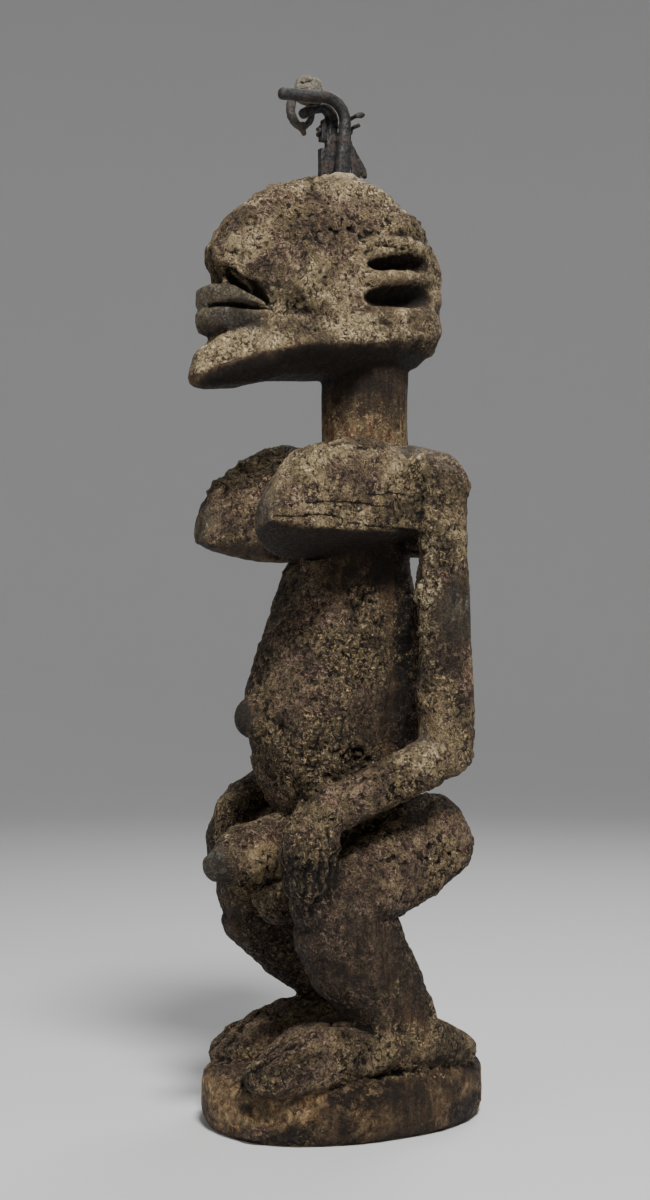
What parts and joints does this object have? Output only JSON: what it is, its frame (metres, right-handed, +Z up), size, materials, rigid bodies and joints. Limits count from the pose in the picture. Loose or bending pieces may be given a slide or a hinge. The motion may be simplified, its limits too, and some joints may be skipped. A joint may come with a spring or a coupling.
{
  "type": "carved standing figure",
  "caption": "Carved wooden standing figure with bent knees on an oval plinth, forged iron hooks and hanging iron drops set in its crown.",
  "frame": {"origin": "on the plinth's flat underside, at the middle of its oval", "axes": "+Z up; the figure faces -Y and its left side is +X"},
  "size_m": [0.1506, 0.187, 0.6224],
  "materials": {
    "crusted_wood": "dark wood under a rough, dry crust with ochre flecks",
    "libation_paste": "hardened sandy paste, matt",
    "forged_iron": "hammered and rusted",
    "packet_hide": "dried, dusty and cracked",
    "strap_hide": "dried and worn"
  },
  "bodies": {
    "figure": {"carved_figure": "crusted_wood", "crown_packing": "libation_paste", "main_hook": "forged_iron", "second_hook": "forged_iron", "binding_ring": "forged_iron", "amulet_packet": "packet_hide", "amulet_loop": "strap_hide"},
    "front_drop": {"pendant_front": "forged_iron"},
    "rear_drop": {"pendant_rear": "forged_iron"}
  },
  "joints": [
    {"name": "front_drop_swing", "type": "hinge", "parent": "figure", "child": "front_drop", "pos_m": [-0.0055, 0.00675, 0.593], "axis": [1, 0, 0], "range_deg": [0, 110]},
    {"name": "rear_drop_swing", "type": "hinge", "parent": "figure", "child": "rear_drop", "pos_m": [-0.0089, 0.00675, 0.593], "axis": [1, 0, 0], "range_deg": [0, 95]}
  ]
}
